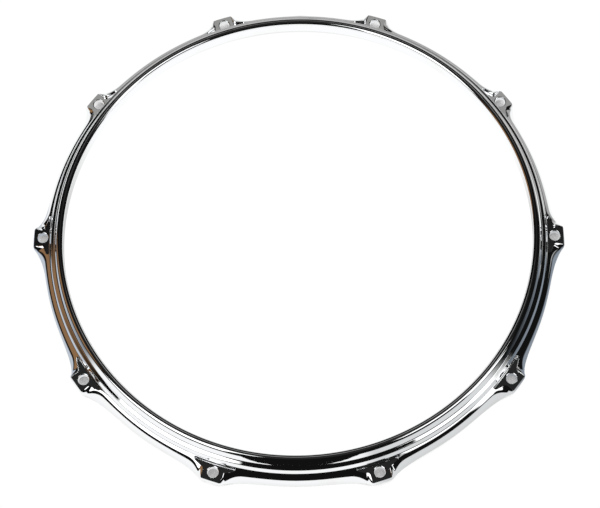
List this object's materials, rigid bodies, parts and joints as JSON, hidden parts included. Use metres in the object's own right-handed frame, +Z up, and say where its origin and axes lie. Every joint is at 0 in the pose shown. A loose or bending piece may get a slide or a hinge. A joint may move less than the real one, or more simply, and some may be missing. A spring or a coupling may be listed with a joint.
{
  "type": "drum hoop",
  "caption": "Round cast metal drum hoop with a rounded rim, a stepped flange, a skirt and ears with holes for tension rods.",
  "frame": {"origin": "on the hoop's axis, in the plane of the skirt's bottom edge that it rests on", "axes": "+Z up along the hoop's axis, rim upwards; +X through the hole of the first ear; +Y completes a right-handed frame"},
  "size_m": [0.4068, 0.3908, 0.0251],
  "materials": {
    "chrome": "polished chrome plate"
  },
  "bodies": {
    "root": {"hoop_casting": "chrome"}
  },
  "joints": []
}
